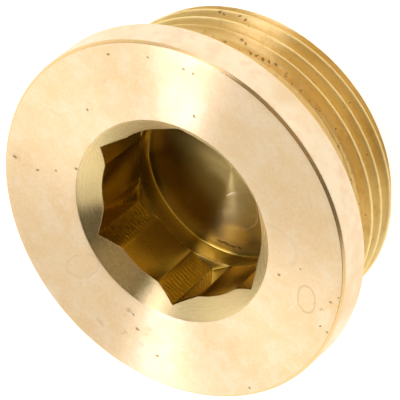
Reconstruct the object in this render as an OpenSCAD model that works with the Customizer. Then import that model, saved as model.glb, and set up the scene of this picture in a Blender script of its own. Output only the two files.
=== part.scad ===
// Screw-in pipe plug with a collar and an inside hexagon, turned and broached from one brass bar.
// It stands on its threaded end: +Z is the plug's axis and points out of the collar's face,
// and z = 0 is the threaded end. All sizes are in millimetres and degrees.

/* [Thread] */
// Outside diameter of the parallel pipe thread
thread_d = 41.91; // [39:0.01:44]
// Distance from one thread crest to the next
thread_pitch = 2.309; // [1.8:0.001:2.6]
// Angle between the two flanks of a thread groove
thread_angle = 55; // [50:1:60]
// Height above the threaded end of the crest that passes the +Y side
crest_height = 8.05; // [6:0.05:9]
// Length of the 45 degree lead-in at the threaded end
lead_in = 2.3; // [1.6:0.1:3]

/* [Shank] */
// Length of the shank from the sealing face to the threaded end
shank_length = 16; // [14:0.5:20]
// Length of the plain neck between the sealing face and the thread
neck_length = 6.8; // [4:0.1:8]
// How far the neck lies below the root of the thread
neck_relief = 0.2; // [0.1:0.05:0.6]
// Slope of the thread's end where it runs out into the neck, from square across
neck_slope = 30; // [15:5:50]
// Radius of the corner between the neck and the sealing face
neck_fillet = 0.8; // [0.3:0.1:1.5]

/* [Collar] */
// Diameter of the collar
collar_d = 49; // [46:0.5:60]
// Thickness of the collar
collar_thickness = 5; // [3:0.5:8]
// Width of the 45 degree bevel round the collar's face
face_bevel = 0.35; // [0.2:0.05:1]
// Width of the 45 degree bevel round the collar's sealing side
seat_bevel = 0.2; // [0.1:0.05:1]

/* [Socket] */
// Depth of the socket from the collar's face to its floor
socket_depth = 14.6; // [13:0.1:16]
// Diameter of the 90 degree countersink at the face
mouth_d = 27.7; // [26.4:0.1:32]
// Diameter of the drilled hole that the hexagon is broached into
pilot_d = 23; // [22.6:0.1:24.4]
// Hexagon from flat to flat, for a 22 mm key with its clearance
hex_across = 22.2; // [21:0.1:22.8]
// Depth of the hexagon from the collar's face
hex_depth = 10.8; // [8:0.1:11.8]
// Direction of the hexagon's first corner, from +X
hex_turn = 8.6; // [0:0.1:60]
// Diameter of the chip room between the hexagon and the floor
chip_room_d = 24.7; // [24:0.1:26.5]
// Height of the cone that widens the drilled hole into the chip room
chip_cone = 1.5; // [0.8:0.1:1.8]
// Radius of the corner round the socket's floor
floor_fillet = 0.4; // [0.2:0.1:0.8]

/* [Hidden] */
round_steps = 180;
$fn = round_steps;

plug_height = shank_length + collar_thickness;
crest_r = thread_d / 2;
collar_r = collar_d / 2;
pilot_r = pilot_d / 2;
mouth_r = mouth_d / 2;
chip_room_r = chip_room_d / 2;
hex_corner_r = hex_across / 2 / cos(30);
floor_z = plug_height - socket_depth;
hex_floor_z = plug_height - hex_depth;

// The pipe thread's form: a sharp V cut back by a sixth of its height at the crest and the root,
// with a round of the same radius on both
flank = thread_angle / 2;
vee_height = thread_pitch / 2 / tan(flank);
crest_cut = vee_height / 6;
thread_depth = vee_height - 2 * crest_cut;
crest_round = crest_cut * sin(flank) / (1 - sin(flank));
root_r = crest_r - thread_depth;
neck_r = root_r - neck_relief;
thread_top = shank_length - neck_length;

// Room by which cutting shapes and joined shapes pass each other
pass = 0.3;
// Facets of the thread along one turn, and across the round of its crest
turn_steps = 60;
crest_steps = 3;

// Section of the thread as points [radius, height from the crest line]:
// its lower foot, the rounded crest and its upper foot
foot_width = (crest_cut + thread_depth) * tan(flank);
crest_section = [
    for (i = [0 : crest_steps])
        let (turn = (90 - flank) * (2 * i / crest_steps - 1))
            [crest_r - crest_round * (1 - cos(turn)), crest_round * sin(turn)]
];
thread_section = concat([[root_r, -foot_width]], crest_section, [[root_r, foot_width]]);

// Height above the threaded end where the thread's run-out is cut off
thread_end = thread_top + pass * tan(neck_slope);

// First and last step of the helix, counted from the crest on the +Y side. The wound rod starts
// a full turn below the threaded end and ends a full turn above the run-out.
first_step = floor((foot_width - thread_pitch - pass - crest_height) / thread_pitch * turn_steps);
last_step = ceil((thread_end + pass + thread_pitch - foot_width - crest_height) / thread_pitch * turn_steps);

// Point p of the thread's section at a step of the right-hand helix
function thread_point(step, p) =
    let (turn = 90 + 360 * step / turn_steps)
        [p[0] * cos(turn), p[0] * sin(turn), crest_height + thread_pitch * step / turn_steps + p[1]];

// Rod with the thread wound on it as a right-hand helix. Both ends are spiral, and are cut square later.
module threaded_rod() {
    sides = len(thread_section);
    rings = last_step - first_step;
    top_foot = sides - 1;
    end_ring = rings * sides;
    points = [
        for (step = [first_step : last_step])
            for (p = thread_section)
                thread_point(step, p)
    ];
    bottom_centre = len(points);
    top_centre = bottom_centre + 1;
    centres = [
        [0, 0, thread_point(first_step, thread_section[0])[2]],
        [0, 0, thread_point(last_step, thread_section[top_foot])[2]]
    ];
    // Flanks and crest, ring after ring
    ridge = [
        for (ring = [0 : rings - 1])
            for (side = [0 : sides - 2])
                let (a = ring * sides + side)
                    each [[a, a + 1, a + 1 + sides], [a, a + 1 + sides, a + sides]]
    ];
    // Root between one turn's upper foot and the next turn's lower foot
    root = [
        for (ring = [0 : rings - turn_steps - 1])
            let (a = ring * sides + top_foot, b = (ring + turn_steps) * sides)
                each [[a, b, b + sides], [a, b + sides, a + sides]]
    ];
    // Spiral ends, each a fan about the axis and one upright step
    bottom = [
        for (ring = [0 : turn_steps - 1])
            [bottom_centre, ring * sides, (ring + 1) * sides]
    ];
    bottom_step = [concat([bottom_centre, turn_steps * sides], [for (side = [top_foot : -1 : 0]) side])];
    top = [
        for (ring = [rings - turn_steps : rings - 1])
            [top_centre, (ring + 1) * sides + top_foot, ring * sides + top_foot]
    ];
    top_step = [
        concat(
            [top_centre, end_ring - turn_steps * sides + top_foot],
            [for (side = [0 : top_foot]) end_ring + side]
        )
    ];
    polyhedron(
        concat(points, centres),
        concat(ridge, root, bottom, bottom_step, top, top_step),
        convexity = 10
    );
}

// Space that the finished thread keeps to: the lead-in below, the run-out into the neck above
module thread_envelope() {
    outer_r = crest_r + pass;
    rotate_extrude()
        polygon([
            [0, 0],
            [crest_r - lead_in, 0],
            [outer_r, lead_in + pass],
            [outer_r, thread_top - (outer_r - neck_r) * tan(neck_slope)],
            [neck_r - pass, thread_end],
            [0, thread_end]
        ]);
}

// Threaded length of the shank
module threaded_end() {
    intersection() {
        threaded_rod();
        thread_envelope();
    }
}

// Plain neck that lets the thread run out and the plug screw home to its collar
module neck() {
    neck_bottom = thread_top - 1;
    translate([0, 0, neck_bottom])
        cylinder(r = neck_r, h = shank_length + pass - neck_bottom);
}

// Flare that rounds the corner between the neck and the sealing face
module neck_corner() {
    rotate_extrude()
        difference() {
            translate([neck_r - pass, shank_length - neck_fillet])
                square([neck_fillet + pass, neck_fillet + pass]);
            translate([neck_r + neck_fillet, shank_length - neck_fillet])
                circle(r = neck_fillet);
        }
}

// Collar with bevelled edges, whose underside is the sealing face
module collar() {
    rotate_extrude()
        polygon([
            [0, shank_length],
            [collar_r - seat_bevel, shank_length],
            [collar_r, shank_length + seat_bevel],
            [collar_r, plug_height - face_bevel],
            [collar_r - face_bevel, plug_height],
            [0, plug_height]
        ]);
}

// Drilled hole with its countersink above and its wider chip room below
module drilled_hole() {
    rotate_extrude()
        difference() {
            polygon([
                [0, floor_z],
                [chip_room_r, floor_z],
                [chip_room_r, hex_floor_z - chip_cone],
                [pilot_r, hex_floor_z],
                [pilot_r, plug_height - (mouth_r - pilot_r)],
                [mouth_r + pass, plug_height + pass],
                [0, plug_height + pass]
            ]);
            floor_corner();
        }
}

// Metal left in the corner round the socket's floor, in section
module floor_corner() {
    difference() {
        translate([chip_room_r - floor_fillet, floor_z - pass])
            square([floor_fillet + pass, floor_fillet + pass]);
        translate([chip_room_r - floor_fillet, floor_z + floor_fillet])
            circle(r = floor_fillet);
    }
}

// Broached hexagon
module hexagon() {
    translate([0, 0, hex_floor_z])
        rotate([0, 0, hex_turn])
            cylinder(r = hex_corner_r, h = hex_depth + pass, $fn = 6);
}

module plug() {
    color("goldenrod")
        difference() {
            union() {
                threaded_end();
                neck();
                neck_corner();
                collar();
            }
            drilled_hole();
            hexagon();
        }
}

plug();
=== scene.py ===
# Brass pipe plug: turned collar, countersunk hexagon socket and a right-hand pipe thread.
# Lengths are written in millimetres and angles in degrees, and become metres and radians in use.
import math

import bpy
import numpy as np
from mathutils import Matrix, Vector


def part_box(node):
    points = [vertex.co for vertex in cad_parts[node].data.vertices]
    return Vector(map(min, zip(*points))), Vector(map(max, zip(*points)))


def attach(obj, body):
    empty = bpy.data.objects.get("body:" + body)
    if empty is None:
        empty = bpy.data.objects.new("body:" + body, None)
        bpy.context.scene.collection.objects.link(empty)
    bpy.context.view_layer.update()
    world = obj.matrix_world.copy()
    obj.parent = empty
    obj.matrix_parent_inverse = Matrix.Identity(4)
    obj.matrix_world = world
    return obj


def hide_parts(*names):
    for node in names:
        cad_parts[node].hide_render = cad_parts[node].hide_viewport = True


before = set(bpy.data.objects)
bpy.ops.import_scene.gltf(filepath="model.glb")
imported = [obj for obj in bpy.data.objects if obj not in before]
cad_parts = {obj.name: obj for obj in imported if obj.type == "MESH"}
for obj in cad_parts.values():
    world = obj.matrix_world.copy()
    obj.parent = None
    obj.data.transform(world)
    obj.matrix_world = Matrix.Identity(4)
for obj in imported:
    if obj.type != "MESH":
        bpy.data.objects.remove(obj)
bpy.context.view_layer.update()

MM = 0.001

# Sizes of the plug, as turned
BOX_LOW, BOX_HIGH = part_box("plug")
PLUG_HEIGHT = (BOX_HIGH[2] - BOX_LOW[2]) / MM
COLLAR_R = (BOX_HIGH[0] - BOX_LOW[0]) / MM / 2
COLLAR_THICKNESS = 5.0
SEAT_Z = PLUG_HEIGHT - COLLAR_THICKNESS
FACE_BEVEL = 0.35
SEAT_BEVEL = 0.2
NECK_LENGTH = 6.8
NECK_FILLET = 0.8
NECK_RELIEF = 0.2
NECK_SLOPE = 30.0

# Pipe thread with 55 degree flanks and rounded crests and roots
CREST_R = 41.91 / 2
PITCH = 2.309
FLANK = 27.5
CREST_HEIGHT = 8.05
LEAD_IN = 2.3
THREAD_TOP = SEAT_Z - NECK_LENGTH
VEE_HEIGHT = PITCH / 2 / math.tan(math.radians(FLANK))
CREST_CUT = VEE_HEIGHT / 6
THREAD_DEPTH = VEE_HEIGHT - 2 * CREST_CUT
SIN_FLANK = math.sin(math.radians(FLANK))
CREST_ROUND = CREST_CUT * SIN_FLANK / (1 - SIN_FLANK)
ROOT_R = CREST_R - THREAD_DEPTH
NECK_R = ROOT_R - NECK_RELIEF

# Socket
MOUTH_R = 27.7 / 2
PILOT_R = 23.0 / 2
HEX_APOTHEM = 22.2 / 2
HEX_DEPTH = 10.8
HEX_TURN = 8.6
CHIP_ROOM_R = 24.7 / 2
CHIP_CONE = 1.5
SOCKET_DEPTH = 14.6
FLOOR_FILLET = 0.4
FLOOR_Z = PLUG_HEIGHT - SOCKET_DEPTH
HEX_FLOOR_Z = PLUG_HEIGHT - HEX_DEPTH

# Small roundings: edges broken in turning, edges left by the broach, the hexagon's own corners,
# and where the cuts at the thread's ends meet the thread
BROKEN_EDGE = 0.06
BROACHED_EDGE = 0.02
BROACH_CORNER = 0.12
CUT_SOFTNESS = 0.12

# Rows of the mesh: radius of the innermost ones, half the height over which the broach's stop
# goes from the hole to the hexagon, and the rows along the thread
INNER_R = 0.25
HALF_STOP = 0.04
THREAD_START = THREAD_TOP + 0.3
THREAD_ROW = 0.08
LOWEST_ROW = 0.06
END_EDGE = 0.05
# Corners that turn by more degrees than this stay sharp
SHARP_ANGLE = 40


def soft_min(a, b, width):
    """The smaller of two values, with the change from one to the other rounded over width."""
    h = np.clip(0.5 + 0.5 * (b - a) / width, 0, 1)
    return b * (1 - h) + a * h - width * h * (1 - h)


def soft_max(a, b, width):
    """The larger of two values, rounded in the same way."""
    return -soft_min(-a, -b, width)


# Directions of the mesh's upright lines: even round the plug, and closer at the hexagon's edges
EVEN_LINES = 288
CORNER_LINES = (0, 0.15, 0.4, 0.8)
EDGE_LINES = (0, 0.2, 0.5)
EDGE_ANGLE = math.degrees(math.acos(HEX_APOTHEM / PILOT_R))
LINE_GAP = 0.35


def line_turns():
    """Directions of the upright lines, in degrees from +X."""
    turns = []
    for side in range(6):
        corner = HEX_TURN + 60 * side
        turns += [corner + sign * step for step in CORNER_LINES for sign in (-1, 1)]
        for edge in (corner + 30 - EDGE_ANGLE, corner + 30 + EDGE_ANGLE):
            turns += [edge + sign * step for step in EDGE_LINES for sign in (-1, 1)]
    close = sorted(set(round(t % 360, 3) for t in turns))
    even = [360 * i / EVEN_LINES for i in range(EVEN_LINES)]

    def far(t):
        return min(abs((t - c + 180) % 360 - 180) for c in close) > LINE_GAP

    return np.array(sorted(close + [t for t in even if far(t)]))


TURNS = line_turns()


def socket_wall(turns):
    """Radius of the broached wall in each direction: the drilled hole, or the hexagon outside it."""
    from_flat = (turns - HEX_TURN) % 60 - 30
    near = HEX_APOTHEM / np.cos(np.radians(from_flat))
    other = HEX_APOTHEM / np.cos(np.radians(60 - np.abs(from_flat)))
    flats = soft_min(near, other, BROACH_CORNER)
    return soft_max(np.full_like(turns, PILOT_R), flats, BROKEN_EDGE)


def thread_radius(turns, z):
    """Radius of the thread's surface at directions and heights, before its ends are cut."""
    phase = (z - CREST_HEIGHT) / PITCH - (turns - 90) / 360
    away = np.abs(phase - np.round(phase)) * PITCH
    round_half = CREST_ROUND * math.cos(math.radians(FLANK))
    crest = CREST_R - CREST_ROUND + np.sqrt(np.maximum(CREST_ROUND**2 - away**2, 0))
    flank = CREST_R + CREST_CUT - away / math.tan(math.radians(FLANK))
    from_root = PITCH / 2 - away
    root = ROOT_R + CREST_ROUND - np.sqrt(np.maximum(CREST_ROUND**2 - from_root**2, 0))
    return np.where(away < round_half, crest, np.where(from_root < round_half, root, flank))


def shank_radius(turns, z):
    """Radius of the thread with its lead-in, its run-out and the neck."""
    lead = CREST_R - LEAD_IN + z
    run_out = NECK_R + (THREAD_TOP - z) / math.tan(math.radians(NECK_SLOPE))
    over_neck = soft_max(np.full_like(z, NECK_R), run_out, CUT_SOFTNESS)
    return soft_min(soft_min(thread_radius(turns, z), lead, CUT_SOFTNESS), over_neck, CUT_SOFTNESS)


class Section:
    """Rows of points [radius, height], one for each upright line, with the finish between rows."""

    def __init__(self):
        self.rows = []
        self.finishes = []

    def add(self, r, z, finish):
        ones = np.ones_like(TURNS)
        self.rows.append((r * ones, z * ones))
        self.finishes.append(finish)

    def path(self, corners):
        """Straight runs between corners (r, z, setback, curve points, run points, finish of the run),
        with each corner rounded from setback before it to setback after it."""
        points = [(np.ones_like(TURNS) * c[0], np.ones_like(TURNS) * c[1]) for c in corners]

        def between(a, b, t):
            return (a[0] + (b[0] - a[0]) * t, a[1] + (b[1] - a[1]) * t)

        def toward(a, b, distance):
            length = np.hypot(b[0] - a[0], b[1] - a[1])
            return between(a, b, np.minimum(distance / np.maximum(length, 1e-9), 0.45))

        for i, (_, _, setback, curve, run, finish) in enumerate(corners):
            here = points[i]
            start = here if i == 0 else toward(here, points[i - 1], setback)
            end = here if i == len(corners) - 1 else toward(here, points[i + 1], setback)
            if setback == 0:
                self.add(*here, finish)
                end = here
            else:
                for k in range(curve + 1):
                    t = k / curve
                    self.add(*between(between(start, here, t), between(here, end, t), t), finish)
            if i < len(corners) - 1:
                following = corners[i + 1][2]
                stop = toward(points[i + 1], here, following) if following else points[i + 1]
                for k in range(1, run + 1):
                    self.add(*between(end, stop, k / (run + 1)), finish)


# Finishes of the plug's surfaces, in the order of its materials
FINISHES = ["floor", "bore", "ledge", "flats", "cone", "face", "edge", "rim", "neck", "thread", "end"]


def plug_section():
    """The plug's section in every direction, from the socket's floor out, over the collar and
    down the thread to the middle of the threaded end."""
    wall = socket_wall(TURNS)
    cone_foot = PLUG_HEIGHT - (MOUTH_R - wall)
    section = Section()
    section.path([
        (INNER_R, FLOOR_Z, 0, 0, 8, "floor"),
        (CHIP_ROOM_R, FLOOR_Z, FLOOR_FILLET, 6, 1, "bore"),
        (CHIP_ROOM_R, HEX_FLOOR_Z - CHIP_CONE, 0.3, 3, 2, "bore"),
        (PILOT_R, HEX_FLOOR_Z - HALF_STOP, BROACHED_EDGE, 2, 1, "ledge"),
        (wall, HEX_FLOOR_Z + HALF_STOP, BROACHED_EDGE, 2, 12, "flats"),
        (wall, cone_foot, BROKEN_EDGE, 3, 5, "cone"),
        (MOUTH_R, PLUG_HEIGHT, BROKEN_EDGE, 3, 12, "face"),
        (COLLAR_R - FACE_BEVEL, PLUG_HEIGHT, BROKEN_EDGE, 3, 2, "edge"),
        (COLLAR_R, PLUG_HEIGHT - FACE_BEVEL, BROKEN_EDGE, 3, 5, "rim"),
        (COLLAR_R, SEAT_Z + SEAT_BEVEL, BROKEN_EDGE, 3, 2, "edge"),
        (COLLAR_R - SEAT_BEVEL, SEAT_Z, BROKEN_EDGE, 2, 4, "neck"),
        (NECK_R, SEAT_Z, NECK_FILLET, 6, 5, "neck"),
        (NECK_R, THREAD_START, 0, 0, 0, "thread"),
    ])
    rows = round((THREAD_START - LOWEST_ROW) / THREAD_ROW)
    for z in np.linspace(THREAD_START, LOWEST_ROW, rows + 1)[1:]:
        section.add(shank_radius(TURNS, np.full_like(TURNS, z)), z, "thread")
    section.path([
        (CREST_R - LEAD_IN, 0, END_EDGE, 2, 6, "end"),
        (INNER_R, 0, 0, 0, 0, "end"),
    ])
    return section


def grid_mesh(name, section):
    """Closed mesh over the section's rows, with a point on the axis at each end."""
    turns = np.radians(TURNS)
    count = len(TURNS)
    verts = []
    for r, z in section.rows:
        verts.append(np.stack([r * np.cos(turns), r * np.sin(turns), z], 1))
    first_z, last_z = section.rows[0][1][0], section.rows[-1][1][0]
    verts.append(np.array([[0, 0, first_z], [0, 0, last_z]]))
    verts = np.concatenate(verts) * MM
    rows = len(section.rows)
    first_centre, last_centre = rows * count, rows * count + 1
    faces, slots = [], []
    for i in range(rows - 1):
        low, high = i * count, (i + 1) * count
        for k in range(count):
            n = (k + 1) % count
            faces.append((low + k, high + k, high + n, low + n))
        slots += [FINISHES.index(section.finishes[i])] * count
    top = (rows - 1) * count
    for k in range(count):
        n = (k + 1) % count
        faces.append((first_centre, k, n))
        slots.append(FINISHES.index("floor"))
        faces.append((last_centre, top + n, top + k))
        slots.append(FINISHES.index("end"))
    mesh = bpy.data.meshes.new(name)
    mesh.from_pydata(verts.tolist(), [], faces)
    mesh.polygons.foreach_set("material_index", slots)
    mesh.polygons.foreach_set("use_smooth", [True] * len(faces))
    mesh.update()
    return mesh


class Shader:
    """Short way to write a node tree. A socket given as an input is linked, and any other value
    is set on the input itself."""

    def __init__(self, tree):
        self.tree = tree
        tree.nodes.clear()

    def add(self, kind, inputs=None, **settings):
        node = self.tree.nodes.new(kind)
        for key, value in settings.items():
            setattr(node, key, value)
        for key, value in (inputs or {}).items():
            if isinstance(value, bpy.types.NodeSocket):
                self.tree.links.new(value, node.inputs[key])
            else:
                node.inputs[key].default_value = value
        return node

    def math(self, operation, a, b=0.0):
        return self.add("ShaderNodeMath", {0: a, 1: b}, operation=operation).outputs[0]

    def dot(self, a, b):
        return self.add("ShaderNodeVectorMath", {0: a, 1: b}, operation="DOT_PRODUCT").outputs["Value"]

    def plus(self, a, b):
        return self.math("ADD", a, b)

    def minus(self, a, b):
        return self.math("SUBTRACT", a, b)

    def times(self, a, b):
        return self.math("MULTIPLY", a, b)

    def vector(self, operation, a, b):
        return self.add("ShaderNodeVectorMath", {0: a, 1: b}, operation=operation).outputs[0]

    def ramp(self, value, low, high, to_low=0.0, to_high=1.0, smooth=True):
        """to_low where value is low, to_high where it is high, and a change between them."""
        kind = "SMOOTHSTEP" if smooth else "LINEAR"
        node = self.add("ShaderNodeMapRange", {
            "Value": value, "From Min": low, "From Max": high, "To Min": to_low, "To Max": to_high,
        }, interpolation_type=kind)
        return node.outputs["Result"]

    def noise(self, vector, scale, detail=2.0, roughness=0.5):
        node = self.add("ShaderNodeTexNoise", {
            "Vector": vector, "Scale": scale, "Detail": detail, "Roughness": roughness,
        })
        return node.outputs["Fac"]

    def mix(self, factor, a, b):
        """Colour a where factor is 0 and b where it is 1."""
        node = self.add("ShaderNodeMix", {0: factor, 6: a, 7: b}, data_type="RGBA")
        return node.outputs[2]


# Colours of the brass: plain, deep and pink patches of each kind of surface
FACE_BRASS = ((0.97, 0.72, 0.43, 1), (0.93, 0.66, 0.36, 1), (0.97, 0.70, 0.42, 1))
# Painted shade: the socket's brass, and its floor's brass still more, is darker than the rest to stand
# for the shade in the recess
SHADED_SOCKET_BRASS = ((0.72, 0.54, 0.14, 1), (0.63, 0.45, 0.09, 1), (0.73, 0.50, 0.13, 1))
SHADED_FLOOR_BRASS = ((0.56, 0.42, 0.16, 1), (0.45, 0.32, 0.10, 1), (0.60, 0.42, 0.18, 1))
EDGE_BRASS = ((0.97, 0.66, 0.30, 1), (0.93, 0.60, 0.26, 1), (0.97, 0.64, 0.32, 1))
# Partly painted highlight: the rim's pale and deep patches stand for its highlight streaks as well as
# its own pinkish tone
RIM_BRASS_AND_SHEEN = ((0.97, 0.79, 0.51, 1), (0.88, 0.65, 0.34, 1), (0.93, 0.67, 0.40, 1))
CONE_BRASS = ((1.00, 0.77, 0.36, 1), (0.97, 0.71, 0.30, 1), (1.00, 0.73, 0.38, 1))
SHANK_BRASS = ((1.00, 0.76, 0.32, 1), (0.98, 0.71, 0.24, 1), (1.00, 0.73, 0.32, 1))

# Colours of marks on the collar's face
PALE_SCUFF = (1.00, 0.81, 0.58, 1)
DEEP_SCUFF = (0.92, 0.65, 0.33, 1)
PALE_GRAIN = (1.00, 0.82, 0.52, 1)
DEEP_GRAIN = (0.88, 0.66, 0.33, 1)
FACE_STAIN = (0.72, 0.46, 0.22, 1)
SPECK = (0.55, 0.30, 0.12, 1)
DROP_EDGE = (0.74, 0.51, 0.27, 1)
FACE_PIT = (0.25, 0.16, 0.07, 1)

# Colours of marks on the shank
# Painted shade: darker, more orange brass at the thread's roots and on the neck
GROOVE_SHADE = (0.86, 0.54, 0.17, 1)
DARK_STREAK = (0.70, 0.42, 0.12, 1)
PALE_STREAK = (1.00, 0.83, 0.50, 1)
SHANK_STAIN = (0.72, 0.46, 0.12, 1)
SHANK_PIT = (0.28, 0.15, 0.04, 1)

# Colours of marks on the socket's floor
# Dark brown of stains and of painted shade on the socket's floor
SOCKET_STAIN_AND_SHADE = (0.28, 0.18, 0.03, 1)
# Painted light: bright brass of a pool of light on the socket's floor
PAINTED_GLOW_BRASS = (1.00, 0.70, 0.17, 1)
PALE_ARC = (0.95, 0.75, 0.50, 1)
CHIP = (0.20, 0.10, 0.02, 1)

# Height in metres that a relief of 1 stands for
RELIEF_HEIGHT = 0.00001


class Place:
    """Where a point of the plug lies, in millimetres, as sockets of a material."""

    def __init__(self, s):
        metres = s.add("ShaderNodeTexCoord").outputs["Object"]
        scale = (1 / MM, 1 / MM, 1 / MM)
        self.point = s.vector("MULTIPLY", metres, scale)
        self.x, self.y, self.z = s.add("ShaderNodeSeparateXYZ", {0: self.point}).outputs
        square = s.plus(s.times(self.x, self.x), s.times(self.y, self.y))
        self.radius = s.math("SQRT", square)
        self.turn = s.math("ARCTAN2", self.y, self.x)

    def ring(self, s, along, length):
        """Place for noise that changes along the section and is drawn out round the axis to length."""
        across = s.plus(s.times(self.radius, along[0]), s.times(self.z, along[1]))
        safe = s.math("MAXIMUM", self.radius, 0.01)
        turns = 12 / length
        return s.add("ShaderNodeCombineXYZ", {
            0: across,
            1: s.times(s.math("DIVIDE", self.x, safe), turns),
            2: s.times(s.math("DIVIDE", self.y, safe), turns),
        }).outputs[0]


def brass(name, along, roughness, anisotropic=1.0, marks=0.4, rings=0.3, cloud=0.5,
          tint=FACE_BRASS, detail=None):
    """Turned brass. along says how radius and height make up the distance across the tool marks,
    marks is the strength of the fine ones, rings of the broad ones, and cloud of the patches in
    the colour. detail adds what one surface alone has: it gets the shader, the place, the colour,
    the roughness and the relief."""
    material = bpy.data.materials.new(name)
    material.use_nodes = True
    s = Shader(material.node_tree)
    place = Place(s)
    fine = s.noise(place.ring(s, along, 8.0), 7.0, 2.0, 0.6)
    broad = s.noise(place.ring(s, along, 12.0), 2.4, 2.0)
    patches = s.noise(place.point, 0.16, 3.0)
    warm = s.noise(place.point, 0.45, 3.0, 0.6)
    plain, deep, pink = tint
    colour = s.mix(s.ramp(patches, 0.4, 0.7, 0, cloud), plain, deep)
    colour = s.mix(s.ramp(warm, 0.45, 0.7, 0, cloud), colour, pink)
    rough = s.plus(s.times(broad, 0.1 * rings), roughness - 0.05 * rings)
    relief = s.plus(s.times(fine, marks), s.times(broad, rings))
    if detail:
        colour, rough, relief = detail(s, place, colour, rough, relief)
    bump = s.add("ShaderNodeBump", {"Strength": 1.0, "Distance": RELIEF_HEIGHT, "Height": relief})
    tangent = s.add("ShaderNodeTangent", direction_type="RADIAL", axis="Z")
    shader = s.add("ShaderNodeBsdfPrincipled", {
        "Base Color": colour,
        "Metallic": 1.0,
        "Roughness": rough,
        "Anisotropic": anisotropic,
        "Anisotropic Rotation": 0.25,
        "Tangent": tangent.outputs[0],
        "Normal": bump.outputs[0],
    })
    s.add("ShaderNodeOutputMaterial", {"Surface": shader.outputs[0]})
    return material


# Chatter of the broach: its spacing along the flats, the radius from which it shows, and the
# direction of the flat that has most of it
CHATTER_STEP = 0.62
CHATTER_FROM = PILOT_R + 0.1
CHATTERED_FLAT = math.radians(HEX_TURN - 90)


def broach_chatter(s, place, colour, rough, relief):
    """Bars across the flats where the broach cut deepest, near the hexagon's corners. They are
    strongest on one flat, and fade along it towards +X."""
    wander = s.noise(place.point, 0.5, 2.0)
    phase = s.plus(s.times(place.z, math.tau / CHATTER_STEP), s.times(wander, 9.0))
    bars = s.math("SINE", phase)
    deep = s.ramp(place.radius, CHATTER_FROM, CHATTER_FROM + 0.25)
    toward = s.dot(place.point, (math.cos(CHATTERED_FLAT), math.sin(CHATTERED_FLAT), 0))
    one_flat = s.ramp(toward, HEX_APOTHEM - 0.4, HEX_APOTHEM - 0.15, 0.15, 1)
    strong = s.times(s.ramp(place.x, -3, 5, 2.8, 1.3), one_flat)
    relief = s.plus(relief, s.times(bars, s.times(deep, strong)))
    rough = s.plus(rough, s.ramp(place.x, 9, 11, 0, 0.12))
    return colour, rough, relief


def ellipse(s, point, at, size, turn=0.0):
    """Distance from the middle of an ellipse, where 1 is its edge. It is given by its place, its
    half sizes and its turn about the last axis."""
    local = s.add("ShaderNodeMapping", {
        "Vector": point,
        "Location": (at[0], at[1], 0),
        "Rotation": (0, 0, math.radians(turn)),
        "Scale": (size[0], size[1], 1000),
    }, vector_type="TEXTURE")
    return s.add("ShaderNodeVectorMath", {0: local.outputs[0]}, operation="LENGTH").outputs["Value"]


def marks(s, point, places, inner=0.6):
    """One mask for all places (x, y, half length, half width, turn). Each mark is full up to
    inner of its half sizes, and fades out from there to its edge."""
    total = 0.0
    for x, y, length, width, turn in places:
        away = ellipse(s, point, (x, y), (length, width), turn)
        total = s.math("MAXIMUM", total, s.ramp(away, 1.0, inner))
    return total


def wobbly(s, point, scale, amount):
    """The point, shifted a little by noise, so that what is drawn at it gets an uneven outline."""
    noise = s.add("ShaderNodeTexNoise", {"Vector": point, "Scale": scale, "Detail": 3.0})
    centred = s.vector("SUBTRACT", noise.outputs["Color"], (0.5, 0.5, 0.5))
    shift = s.add("ShaderNodeVectorMath", {0: centred, "Scale": amount}, operation="SCALE")
    return s.vector("ADD", point, shift.outputs[0])


# Marks on the collar's face, in millimetres from its middle: x, y, half length, half width, turn
FACE_PITS = [
    (-17.1, 1.5, 0.22, 0.18, 0),
    (-14.1, -9.3, 0.20, 0.15, 30),
    (-15.7, -11.6, 0.30, 0.18, 60),
    (-12.6, -6.4, 0.25, 0.18, 30),
    (-7.9, 14.2, 0.28, 0.18, 0),
    (-13.0, 17.8, 0.25, 0.15, 40),
    (-11.8, 18.5, 0.20, 0.14, 0),
    (-20.4, 10.1, 0.25, 0.15, 60),
    (-16.9, 14.7, 0.22, 0.14, 20),
    (13.4, 8.0, 0.24, 0.18, 0),
    (14.5, 11.3, 0.16, 0.12, 0),
    (19.9, 11.5, 0.25, 0.15, 30),
    (21.4, 7.7, 0.20, 0.14, 70),
    (22.5, 7.9, 0.18, 0.14, 0),
    (20.1, 13.0, 0.20, 0.12, 50),
    (22.0, -8.1, 0.20, 0.15, 0),
    (11.7, -16.7, 0.30, 0.15, 45),
    (7.5, -16.3, 0.35, 0.20, 20),
    (5.8, -15.2, 0.22, 0.16, 0),
    (-18.8, -13.1, 0.35, 0.18, 20),
]
FACE_STAINS = [
    (-18.2, -12.8, 1.8, 0.7, 10),
    (-16.6, -12.2, 0.9, 0.6, 60),
    (-2.4, -17.8, 1.5, 0.8, 80),
    (5.1, -15.2, 1.3, 0.6, 40),
    (8.4, -15.0, 1.4, 0.7, 70),
    (9.2, -17.6, 1.0, 0.4, 20),
    (-18.5, 6.0, 1.8, 0.5, 70),
    (17.5, 3.5, 1.5, 0.9, 20),
    (3.8, -20.5, 1.2, 0.5, 0),
]
# Where stains are made up of small brown specks
FACE_SPECKS = [
    (5.3, -15.4, 1.7, 0.9, 70),
    (9.0, -15.5, 1.6, 0.8, 80),
    (6.4, -18.6, 1.6, 0.8, 10),
    (-18.0, -12.8, 1.6, 0.7, 20),
    (19.5, 9.5, 1.6, 1.0, 60),
    (-1.5, -18.0, 1.4, 0.8, 60),
]
FACE_SCRATCHES = [
    (-14.4, 13.1, 1.0, 0.05, -49),
    (-19.5, -3.0, 1.4, 0.04, 20),
    (9.0, 19.5, 1.2, 0.04, -30),
]
# Dried drops, of which the edge shows: the last number says how strongly and how far round
FACE_DROPS = [
    (17.8, 8.8, 2.0, 1.3, -49, 1.0),
    (10.3, 10.5, 3.4, 2.6, 20, 0.0),
    (14.8, -6.2, 2.4, 1.7, 40, 0.0),
    (-3.0, -16.4, 2.8, 1.6, 75, 0.1),
]


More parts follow.
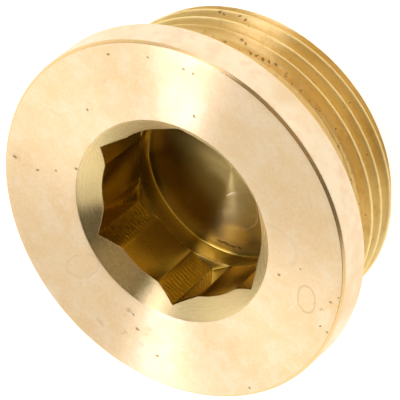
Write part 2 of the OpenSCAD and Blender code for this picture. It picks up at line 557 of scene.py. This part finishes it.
def face_marks(s, place, colour, rough, relief):
    """Scuffs, pits, stains, scratches and dried drops on the collar's face."""
    uneven = wobbly(s, place.point, 0.9, 0.5)
    rougher = wobbly(s, place.point, 4.0, 0.25)
    faint = s.noise(place.point, 0.7, 4.0, 0.65)
    scuffs = s.noise(place.point, 0.35, 6.0, 0.7)
    colour = s.mix(s.ramp(scuffs, 0.45, 0.65, 0, 0.5), colour, PALE_SCUFF)
    colour = s.mix(s.ramp(scuffs, 0.5, 0.35, 0, 0.25), colour, DEEP_SCUFF)
    grain = s.noise(place.point, 2.2, 4.0, 0.7)
    colour = s.mix(s.ramp(grain, 0.52, 0.68, 0, 0.5), colour, PALE_GRAIN)
    colour = s.mix(s.ramp(grain, 0.48, 0.34, 0, 0.45), colour, DEEP_GRAIN)
    stains = s.times(marks(s, uneven, FACE_STAINS, 0.1), s.ramp(faint, 0.4, 0.65))
    colour = s.mix(s.times(stains, 0.5), colour, FACE_STAIN)
    specks = s.ramp(s.noise(place.point, 1.5, 4.0, 0.7), 0.56, 0.66)
    specks = s.times(specks, marks(s, uneven, FACE_SPECKS, 0.2))
    colour = s.mix(s.times(specks, 0.7), colour, SPECK)
    for x, y, length, width, turn, strength in FACE_DROPS:
        away = ellipse(s, uneven, (x, y), (length, width), turn)
        edge = s.times(s.ramp(away, 0.8, 0.95), s.ramp(away, 1.08, 0.97))
        least, most = 0.4 - 0.3 * strength, 0.6 - 0.2 * strength
        edge = s.times(edge, s.ramp(faint, least, most, 0, 0.3 + 0.4 * strength))
        colour = s.mix(edge, colour, DROP_EDGE)
    scratches = marks(s, place.point, FACE_SCRATCHES)
    relief = s.minus(relief, s.times(scratches, 2.0))
    pits = marks(s, rougher, FACE_PITS)
    colour = s.mix(s.times(pits, 0.7), colour, FACE_PIT)
    relief = s.minus(relief, s.times(pits, 12.0))
    return colour, rough, relief


# Marks on the thread and the neck: distance round the thread in millimetres from +X at its
# crest, height, half length, half width, turn
SHANK_PITS = [
    (45.2, 8.5, 0.26, 0.10, 10),
    (44.5, 8.6, 0.22, 0.08, -20),
    (43.4, 9.0, 0.30, 0.11, 0),
    (42.5, 9.0, 0.26, 0.09, 20),
    (41.5, 9.0, 0.34, 0.11, 0),
    (40.6, 8.9, 0.26, 0.10, -10),
    (39.7, 8.8, 0.30, 0.09, 0),
    (37.7, 9.0, 0.19, 0.06, 0),
    (36.4, 9.1, 0.15, 0.06, 0),
    (35.0, 9.0, 0.19, 0.06, 10),
    (33.2, 9.0, 0.15, 0.06, 0),
    (31.4, 8.9, 0.19, 0.06, 0),
    (28.3, 8.7, 0.22, 0.07, 0),
    (26.1, 9.1, 0.19, 0.07, 0),
    (24.0, 8.9, 0.22, 0.06, 0),
    (21.2, 9.1, 0.19, 0.06, 0),
    (17.4, 8.7, 0.19, 0.06, 0),
    (39.4, 2.2, 0.27, 0.12, 0),
    (39.0, 2.3, 0.18, 0.09, 30),
    (29.7, 4.0, 0.14, 0.07, 0),
    (23.0, 3.0, 0.20, 0.10, 60),
    (23.1, 6.0, 0.20, 0.09, 20),
    (22.0, 5.3, 0.23, 0.10, 0),
    (21.6, 5.0, 0.14, 0.07, 40),
    (15.7, 8.3, 0.14, 0.07, 0),
    (12.7, 2.7, 0.16, 0.09, 30),
    (19.7, 2.6, 0.16, 0.09, 0),
    (51.1, 4.0, 0.32, 0.10, 10),
    (50.5, 4.1, 0.23, 0.09, -20),
    (48.2, 4.0, 0.23, 0.09, 0),
    (47.3, 4.1, 0.18, 0.07, 0),
    (45.8, 6.0, 0.23, 0.07, 0),
]
# Heights between which the foot of the run-out is torn
TORN_FROM = 8.5
TORN_TO = 9.5


def shank_marks(s, place, colour, rough, relief):
    """Painted shade in the thread's roots and on the neck, streaks, stains and pits on the thread,
    and the torn foot of its run-out at the neck.
    """
    around = s.add("ShaderNodeCombineXYZ", {0: s.times(place.turn, CREST_R), 1: place.z}).outputs[0]
    pits = marks(s, wobbly(s, around, 3.0, 0.3), SHANK_PITS)
    above = s.ramp(place.z, TORN_FROM, TORN_FROM + 0.4)
    below = s.ramp(place.z, TORN_TO, TORN_TO - 0.4)
    band = s.times(above, below)
    torn = s.noise(place.point, 1.6, 4.0, 0.7)
    relief = s.plus(relief, s.times(s.times(torn, band), 14.0))
    holes = s.times(s.ramp(torn, 0.58, 0.68), band)
    pits = s.math("MAXIMUM", pits, s.times(holes, 0.8))
    # Painted shade: the roots, and the neck below the roots' radius, are tinted darker
    groove_shade = s.ramp(place.radius, ROOT_R + 0.6, ROOT_R + 0.1, 0, 0.4)
    colour = s.mix(groove_shade, colour, GROOVE_SHADE)
    streaks = s.noise(place.ring(s, (0, 1), 7.0), 4.0, 3.0, 0.65)
    colour = s.mix(s.ramp(streaks, 0.5, 0.7, 0, 0.3), colour, DARK_STREAK)
    colour = s.mix(s.ramp(streaks, 0.45, 0.3, 0, 0.4), colour, PALE_STREAK)
    stain = s.noise(place.point, 0.55, 4.0, 0.7)
    colour = s.mix(s.ramp(stain, 0.5, 0.75, 0, 0.45), colour, SHANK_STAIN)
    colour = s.mix(s.times(pits, 0.75), colour, SHANK_PIT)
    relief = s.minus(relief, s.times(pits, 10.0))
    return colour, rough, relief


# Marks on the socket's floor, in the same way as on the face
SOCKET_CHIPS = [
    (5.9, -9.3, 0.5, 0.20, 40),
    (6.6, -8.8, 0.7, 0.22, 30),
    (7.5, -8.1, 0.6, 0.18, 40),
    (8.1, -7.5, 0.35, 0.20, 20),
]
# The first two, large ones lie where the wall shades the floor and are painted shade
SOCKET_STAINS_AND_SHADE = [
    (-2.8, -6.8, 9.0, 5.2, -16),
    (0.5, -4.6, 3.6, 3.0, -30),
    (-8.5, 0.5, 2.5, 4.5, 0),
    (6.9, -9.7, 2.6, 1.1, 40),
]
# A painted pool of light on the socket's floor
SOCKET_GLOW_PATCH = [
    (6.5, -6.5, 3.0, 1.9, 45),
]
SOCKET_ARCS = [
    (4.6, -3.4, 2.6, 2.6, 0),
    (5.2, -1.9, 1.1, 0.9, 0),
]


def socket_floor_marks(s, place, colour, rough, relief):
    """Chips of the broach pressed into the socket's floor, dark stains that are partly painted
    shade, with a painted pool of light among them, and pale arcs."""
    uneven = wobbly(s, place.point, 2.0, 0.4)
    chips = marks(s, uneven, SOCKET_CHIPS)
    # Partly painted shade: the floor is darkened where the wall shades it
    dark = marks(s, uneven, SOCKET_STAINS_AND_SHADE, 0.5)
    colour = s.mix(s.times(dark, 0.75), colour, SOCKET_STAIN_AND_SHADE)
    # Painted light: a bright pool on the floor, in brighter brass
    painted_glow = marks(s, uneven, SOCKET_GLOW_PATCH, 0.3)
    colour = s.mix(painted_glow, colour, PAINTED_GLOW_BRASS)
    faint = s.noise(place.point, 0.5, 2.0)
    for x, y, length, width, turn in SOCKET_ARCS:
        away = ellipse(s, uneven, (x, y), (length, width), turn)
        edge = s.times(s.ramp(away, 0.9, 0.96), s.ramp(away, 1.04, 0.98))
        colour = s.mix(s.times(edge, s.ramp(faint, 0.4, 0.6, 0, 0.6)), colour, PALE_ARC)
    colour = s.mix(s.times(chips, 0.8), colour, CHIP)
    relief = s.plus(relief, s.times(chips, 10.0))
    return colour, rough, relief


def plug_materials():
    """One brass for each finish, in the order of FINISHES."""
    return [
        # The socket's materials use brass darkened as painted shade of the recess
        brass("brass_floor", (1, 0), 0.24, rings=0.4, tint=SHADED_FLOOR_BRASS, detail=socket_floor_marks),
        brass("brass_bore", (0, 1), 0.14, tint=SHADED_SOCKET_BRASS),
        brass("brass_ledge", (1, 0), 0.32, 0.0, tint=SHADED_SOCKET_BRASS),
        brass("brass_flats", (0, 1), 0.12, 0.3, tint=SHADED_SOCKET_BRASS, detail=broach_chatter),
        brass("brass_cone", (1, 1), 0.27, marks=0.8, tint=CONE_BRASS),
        brass("brass_face", (1, 0), 0.31, marks=0.2, rings=0.05, cloud=1.0, detail=face_marks),
        brass("brass_edge", (1, -1), 0.26, tint=EDGE_BRASS),
        # The rim's strong patches of colour are partly painted highlight streaks
        brass("brass_rim", (0, 1), 0.3, rings=0.1, cloud=1.0, tint=RIM_BRASS_AND_SHEEN),
        brass("brass_neck", (0, 1), 0.34, tint=SHANK_BRASS, detail=shank_marks),
        brass("brass_thread", (0, 1), 0.34, tint=SHANK_BRASS, detail=shank_marks),
        brass("brass_end", (1, 0), 0.3),
    ]


def make_plug():
    """The dressed plug, in place of the solid one."""
    mesh = grid_mesh("plug_body", plug_section())
    for material in plug_materials():
        mesh.materials.append(material)
    mesh.set_sharp_from_angle(angle=math.radians(SHARP_ANGLE))
    plug = bpy.data.objects.new("plug_body", mesh)
    bpy.context.scene.collection.objects.link(plug)
    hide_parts("plug")
    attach(plug, "root")
    return plug


# Camera, as the photograph was taken: tilt from the plug's axis, roll in the picture, distance
# to the middle of the collar's face, and that middle's place from the picture's, in pixels
TILT = 42.62
ROLL = -40.37
DISTANCE = 529.6
FACE_AT = (-29.0, 21.9)
PICTURE = 400
FOCAL_PIXELS = 4313.5
SENSOR = 36.0


def make_camera():
    """Camera of the photograph. Its own frame is first x right, y down and z forward."""
    tilt, roll = math.radians(TILT), math.radians(ROLL)
    inward = Vector((math.sin(tilt) * math.cos(roll), math.sin(tilt) * math.sin(roll), math.cos(tilt)))
    x_axis = Vector((-math.sin(roll), math.cos(roll), 0))
    y_axis = -inward.cross(x_axis)
    z_axis = -inward
    to_plug = Matrix((x_axis, y_axis, z_axis))
    face = Vector((FACE_AT[0] / FOCAL_PIXELS, FACE_AT[1] / FOCAL_PIXELS, 1)) * DISTANCE
    place = Vector((0, 0, PLUG_HEIGHT)) - to_plug @ face
    flip = Matrix(((1, 0, 0), (0, -1, 0), (0, 0, -1)))
    camera = bpy.data.objects.new("camera", bpy.data.cameras.new("camera"))
    camera.data.sensor_width = SENSOR
    camera.data.lens = SENSOR * FOCAL_PIXELS / PICTURE
    camera.data.clip_start = 0.01
    camera.matrix_world = Matrix.Translation(place * MM) @ (to_plug @ flip).to_4x4()
    bpy.context.scene.collection.objects.link(camera)
    bpy.context.scene.camera = camera
    return camera


# Studio floor: its half size and its depth below the plug, which is only enough to part the two,
# in millimetres, its paint, and its strength where the camera and the metal see it
STUDIO_HALF = 1500.0
STUDIO_DROP = 0.02
STUDIO_PAINT = (0.8, 0.8, 0.8, 1)
STUDIO_GLOW = 0.8
STUDIO_GLOW_TINT = (0.95, 0.95, 1, 1)
# Where the floor is lighter in the metal: x, y, half length, half width, turn
STUDIO_LIGHTS = [
    (0.0, 46.0, 3.5, 12.0, 0),
    (-28.0, 32.0, 7.0, 4.0, 150),
    (-38.0, 1.0, 9.0, 8.0, 0),
]
# Radius up to which the plug's own shade lies on the floor in the metal, and from which it is gone
SHADE_FROM = 19.0
SHADE_TO = 25.0
SHADE = 0.3


def make_floor():
    """Pale floor that keeps the plug's shadow and shows white to the camera and in the metal."""
    half, low = STUDIO_HALF * MM, -STUDIO_DROP * MM
    corners = [(-half, -half, low), (half, -half, low), (half, half, low), (-half, half, low)]
    mesh = bpy.data.meshes.new("floor")
    mesh.from_pydata(corners, [], [(0, 1, 2, 3)])
    floor = bpy.data.objects.new("floor", mesh)
    bpy.context.scene.collection.objects.link(floor)
    material = bpy.data.materials.new("floor")
    material.use_nodes = True
    s = Shader(material.node_tree)
    rays = s.add("ShaderNodeLightPath").outputs
    metal = s.math("MAXIMUM", rays["Is Glossy Ray"], rays["Is Transmission Ray"])
    paint = s.add("ShaderNodeBsdfDiffuse", {"Color": STUDIO_PAINT})
    place = Place(s)
    lights = s.ramp(marks(s, place.point, STUDIO_LIGHTS, 0.2), 0, 1, STUDIO_GLOW, 1.0, smooth=False)
    in_metal = s.times(lights, s.ramp(place.radius, SHADE_FROM, SHADE_TO, SHADE, 1.0))
    strength = s.times(rays["Is Camera Ray"], STUDIO_GLOW)
    strength = s.plus(strength, s.times(metal, in_metal))
    glow = s.add("ShaderNodeEmission", {"Color": STUDIO_GLOW_TINT, "Strength": strength})
    both = s.add("ShaderNodeAddShader", {0: paint.outputs[0], 1: glow.outputs[0]})
    s.add("ShaderNodeOutputMaterial", {"Surface": both.outputs[0]})
    mesh.materials.append(material)


# Levels of the studio: its walls near the floor, higher up, to the right and overhead, the soft
# light behind the plug, the bright strip and its far end, and the dim side
LOW_LEVEL = 1.7
WALL_LEVEL = 1.0
SIDE_LEVEL = 0.2
CEILING_LEVEL = 0.1
KEY_LEVEL = 1.32
STRIP_LEVEL = 3.0
STRIP_END_LEVEL = 1.2
DIM_LEVEL = 0.03
DIM_MIDDLE_LEVEL = 0.28
WHITE = (1, 1, 1, 1)
DIM_TINT = (1, 0.79, 0.53, 1)
STRIP_TINT = (1, 1, 1.35, 1)

# Directions in the studio, from the plug: where the soft light stands, the middle of the dim
# side, and the sides on which the strip and the dim side lie
KEY_WAY = (0, -0.677, 0.736)
DIM_WAY = (0, 0.677, 0.736)
STRIP_SIDE = (-0.886, -0.342, -0.314)
STRIP_END_SIDE = (-0.702, -0.525, -0.483)
DIM_SIDE = (-0.520, 0.610, 0.561)
RIGHT_WAY = (1, 0, 0)


def make_world():
    """Pale studio, darker overhead, with a soft light behind the plug, a bright strip beside it
    and, where the photographer stands, a dim side. The edges of the strip and of the dim side
    meet where the face mirrors."""
    world = bpy.data.worlds.new("studio")
    bpy.context.scene.world = world
    world.use_nodes = True
    s = Shader(world.node_tree)
    way = s.add("ShaderNodeTexCoord").outputs["Generated"]
    up = s.add("ShaderNodeSeparateXYZ", {0: way}).outputs[2]
    strip_side = s.dot(way, STRIP_SIDE)
    from_key = s.dot(way, KEY_WAY)
    walls = s.ramp(up, 0.0, 0.15, LOW_LEVEL, WALL_LEVEL)
    walls = s.plus(walls, s.ramp(s.dot(way, RIGHT_WAY), 0.6, 0.9, 0, SIDE_LEVEL))
    walls = s.math("MAXIMUM", s.times(walls, s.ramp(up, 0.68, 0.42)), CEILING_LEVEL)
    key = s.ramp(from_key, 0.80, 0.93, 0, KEY_LEVEL)
    strip = s.ramp(strip_side, -0.01, 0.01)
    strip = s.times(strip, s.ramp(s.dot(way, STRIP_END_SIDE), 0.03, -0.03))
    strip = s.times(strip, s.ramp(from_key, 0.99, 0.95))
    strip = s.times(strip, s.ramp(from_key, 0.0, 0.08))
    strip = s.times(strip, s.ramp(from_key, 0.4, 0.65, STRIP_END_LEVEL, STRIP_LEVEL))
    pale = s.plus(s.math("MAXIMUM", key, walls), strip)
    dim = s.times(s.ramp(strip_side, 0.01, -0.01), s.ramp(s.dot(way, DIM_SIDE), -0.02, 0.06))
    dim = s.times(dim, s.ramp(from_key, 0.945, 0.90))
    dim = s.times(dim, s.ramp(up, 0.15, 0.3))
    dim_level = s.ramp(s.dot(way, DIM_WAY), 0.85, 0.97, DIM_LEVEL, DIM_MIDDLE_LEVEL)
    level = s.plus(s.times(pale, s.minus(1.0, dim)), s.times(dim, dim_level))
    pale_colour = s.mix(s.math("DIVIDE", strip, pale), WHITE, STRIP_TINT)
    colour = s.mix(dim, pale_colour, DIM_TINT)
    back = s.add("ShaderNodeBackground", {"Color": colour, "Strength": level})
    s.add("ShaderNodeOutputWorld", {"Surface": back.outputs[0]})


bpy.context.scene.view_settings.view_transform = "Standard"
make_plug()
make_camera()
make_floor()
make_world()
